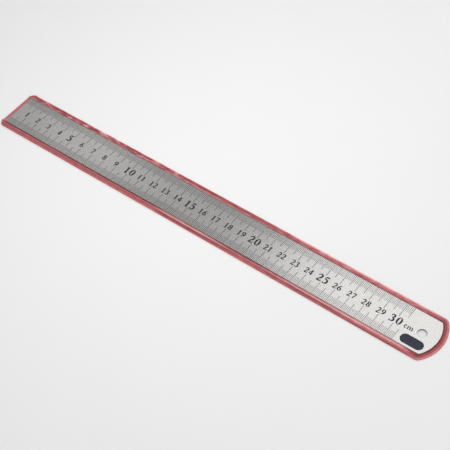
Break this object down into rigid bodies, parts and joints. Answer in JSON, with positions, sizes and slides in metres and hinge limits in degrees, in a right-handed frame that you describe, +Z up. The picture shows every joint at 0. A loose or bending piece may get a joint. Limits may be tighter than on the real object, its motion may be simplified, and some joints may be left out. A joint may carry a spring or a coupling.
{
  "type": "steel ruler in sleeve",
  "caption": "Flat steel ruler with two millimetre edge scales, a round end and a hang hole, sliding in a welded sleeve with a red back and a clear front.",
  "frame": {"origin": "middle of the sleeve's length and width, on the surface that it lies on", "axes": "+X along the ruler from the sleeve's open mouth to the round end, +Y across to the far edge, +Z up out of the printed face"},
  "size_m": [0.3334, 0.0326, 0.0012],
  "materials": {
    "steel": "fine lengthwise brushing",
    "ink": "black print",
    "red_film": "translucent red vinyl film",
    "clear_film": "clear vinyl film"
  },
  "bodies": {
    "sleeve": {"back_film": "red_film", "front_window": "clear_film", "far_side_seam": "clear_film", "near_side_seam": "clear_film", "round_end_seam": "clear_film"},
    "ruler": {"blade": "steel", "far_millimetre_marks": "ink", "far_half_centimetre_marks": "ink", "far_centimetre_marks": "ink", "near_millimetre_marks": "ink", "near_half_centimetre_marks": "ink", "near_centimetre_marks": "ink"}
  },
  "joints": [
    {"name": "ruler_slide", "type": "slide", "parent": "sleeve", "child": "ruler", "axis": [-1, 0, 0], "range_m": [0, 0.3]}
  ]
}
